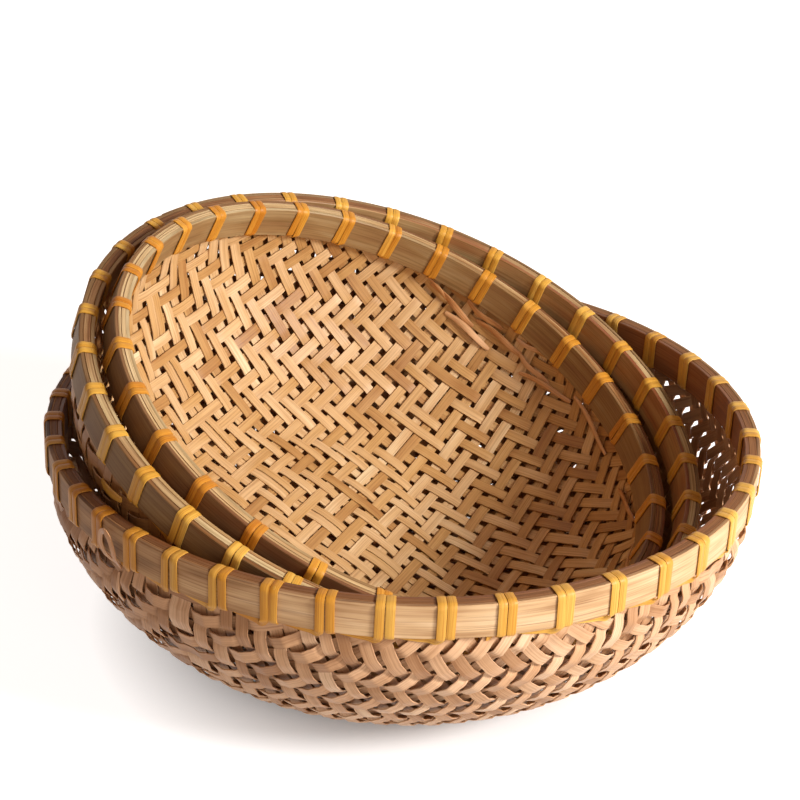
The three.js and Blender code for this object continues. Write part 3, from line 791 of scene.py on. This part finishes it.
# painted shade: the floor's glow is left off close to the middle and fades in further out, so the floor under
# and round the nest shows darker
GLOW_START, GLOW_END, GLOW = 0.07, 0.135, 0.87  # the floor's glow sets in at the rim of the shadow
ROOM_LEFT, ROOM_RIGHT = 0.16, 0.43  # light of the room from -X and +X
ROOM_TINT = (1, 0.6, 0.38, 1)
WHITE = (1, 1, 1, 1)
LIGHT_AIM = (0, 0, 0.05)

# The camera, as fitted to the photograph, in millimetres and degrees
LENS = 90
ELEVATION = 27.30
DISTANCE = 847.7
AIM_HEIGHT = 100
PAN, TIP, ROLL = 0.144, 0.373, -2.802


def aimed(name, data, place, axes):
    """Object at a place, with its own axes given as rows."""
    obj = bpy.data.objects.new(name, data)
    bpy.context.scene.collection.objects.link(obj)
    matrix = Matrix.Identity(4)
    for row in range(3):
        matrix[row][0], matrix[row][1], matrix[row][2] = axes[0][row], axes[1][row], axes[2][row]
        matrix[row][3] = place[row]
    obj.matrix_world = matrix
    return obj


def lamp(name, place, size, power):
    light = bpy.data.lights.new(name, "AREA")
    light.shape = "DISK"
    light.size = size
    light.energy = power
    z = np.array(place, float) - np.array(LIGHT_AIM, float)
    z /= np.linalg.norm(z)
    x = np.cross([0, 0, 1.0], z)
    x /= np.linalg.norm(x)
    aimed(name, light, place, (x, np.cross(z, x), z))


def seen_rays(nodes, links):
    """1 for the camera's rays and for those of reflections and of glass, otherwise 0."""
    path = nodes.new("ShaderNodeLightPath")
    glossy = math_node(nodes, links, "MAXIMUM", path.outputs["Is Camera Ray"], path.outputs["Is Glossy Ray"])
    return math_node(nodes, links, "MAXIMUM", glossy, path.outputs["Is Transmission Ray"])


def stage():
    """Pale floor that takes the shadow and glows white further out. The glow is left off under the nest and
    fades in round it, which paints shade on the floor there.
    """
    mesh = bpy.data.meshes.new("floor")
    corners = ((-1, -1), (1, -1), (1, 1), (-1, 1))
    mesh.from_pydata([(x * FLOOR_HALF, y * FLOOR_HALF, FLOOR_HEIGHT) for x, y in corners], [], [(0, 1, 2, 3)])
    floor = bpy.data.objects.new("floor", mesh)
    bpy.context.scene.collection.objects.link(floor)
    mat = bpy.data.materials.new("floor_paper")
    mat.use_nodes = True
    nodes, links = mat.node_tree.nodes, mat.node_tree.links
    nodes.clear()
    out = nodes.new("ShaderNodeOutputMaterial")
    diffuse = nodes.new("ShaderNodeBsdfDiffuse")
    diffuse.inputs["Color"].default_value = FLOOR_COLOUR
    place = nodes.new("ShaderNodeTexCoord")
    distance = nodes.new("ShaderNodeVectorMath")
    distance.operation = "LENGTH"
    links.new(place.outputs["Object"], distance.inputs[0])
    # painted shade under the nest: no glow there, fading in round it
    level = map_range(nodes, links, distance.outputs["Value"], GLOW_START, GLOW_END, 0.0, GLOW)
    glow = nodes.new("ShaderNodeEmission")
    links.new(math_node(nodes, links, "MULTIPLY", seen_rays(nodes, links), level), glow.inputs["Strength"])
    add = nodes.new("ShaderNodeAddShader")
    links.new(diffuse.outputs[0], add.inputs[0])
    links.new(glow.outputs[0], add.inputs[1])
    links.new(add.outputs[0], out.inputs["Surface"])
    mesh.materials.append(mat)


def studio():
    """White backdrop, a warm room that is dimmer on the left, a key lamp and a low fill."""
    world = bpy.data.worlds.new("studio")
    bpy.context.scene.world = world
    world.use_nodes = True
    nodes, links = world.node_tree.nodes, world.node_tree.links
    back = nodes["Background"]
    seen = seen_rays(nodes, links)
    place = nodes.new("ShaderNodeTexCoord")
    direction = nodes.new("ShaderNodeSeparateXYZ")
    links.new(place.outputs["Generated"], direction.inputs[0])
    room = map_range(nodes, links, direction.outputs["X"], -1, 1, ROOM_LEFT, ROOM_RIGHT)
    links.new(map_range(nodes, links, seen, 0, 1, room, 1.0), back.inputs["Strength"])
    links.new(mix_colour(nodes, links, "MIX", seen, ROOM_TINT, WHITE), back.inputs["Color"])
    lamp("key", (1.35, -0.72, 0.92), size=0.5, power=40)
    lamp("fill", (0.6, -1.4, 0.4), size=1.0, power=6)


def rotation(axis, degrees):
    """Turn about one of the three axes, which are numbered from 0."""
    c, s = math.cos(math.radians(degrees)), math.sin(math.radians(degrees))
    j, k = (axis + 1) % 3, (axis + 2) % 3
    matrix = np.eye(3)
    matrix[j, j], matrix[j, k], matrix[k, j], matrix[k, k] = c, -s, s, c
    return matrix


def camera():
    """The photograph's camera, in front of the nest and a little above it."""
    e = math.radians(ELEVATION)
    place = np.array([0, -DISTANCE * math.cos(e), AIM_HEIGHT + DISTANCE * math.sin(e)])
    forward = np.array([0, math.cos(e), -math.sin(e)])
    right = np.array([1.0, 0, 0])
    level = np.stack([right, np.cross(right, forward), forward])
    rows = rotation(2, ROLL) @ rotation(1, PAN) @ rotation(0, TIP) @ level
    data = bpy.data.cameras.new("camera")
    data.sensor_width = 36
    data.lens = LENS
    bpy.context.scene.camera = aimed("camera", data, place * MM, (rows[0], rows[1], -rows[2]))


def dress(basket):
    """All the pieces of one basket, in its own colours."""
    name, look = basket.name, LOOKS[basket.name]
    split_strip = strand_material(f"{name}_split_strip", look["weave"], grain="b08a68", streak=0.45,
                                  roughness=0.46, bump=0.35, spread=0.7, shine=look["weave_shine"])
    weave(basket, split_strip)
    slat = strand_material(f"{name}_hoop_slat", look["hoop"], grain="b8946e", streak=0.45,
                           roughness=0.5, bump=0.3, pitch=1.1, veins=0.45, shine=0.14)
    skin = strand_material(f"{name}_hoop_skin", look["skin"], grain="9a845c", streak=0.45,
                           roughness=0.42, bump=0.15, pitch=1.1)
    cap = strand_material(f"{name}_cap_splints", look["cap"], grain="8a6c48", streak=0.6,
                          roughness=0.6, bump=0.3)
    rim(basket, slat, skin, cap)
    dyed = strand_material(f"{name}_dyed_strip", look["dyed"], grain="c08a44", streak=0.55,
                           roughness=0.4, bump=0.25, pitch=2.2, shine=0.22)
    lashing(basket, dyed)
    if name == "medium":
        medium_loose_end(basket, dyed)
        return
    sprung = strand_material(f"{name}_sprung_splint", SPRUNG_LOOK, grain="b08a68", streak=0.5,
                             roughness=0.32, bump=0.3, shine=0.3)
    if name == "large":
        large_loose_ends(basket, sprung, dyed)
    else:
        sprung_splints(basket, sprung)


bpy.context.scene.view_settings.view_transform = "Standard"
camera()
stage()
studio()
for basket in BASKETS:
    dress(basket)
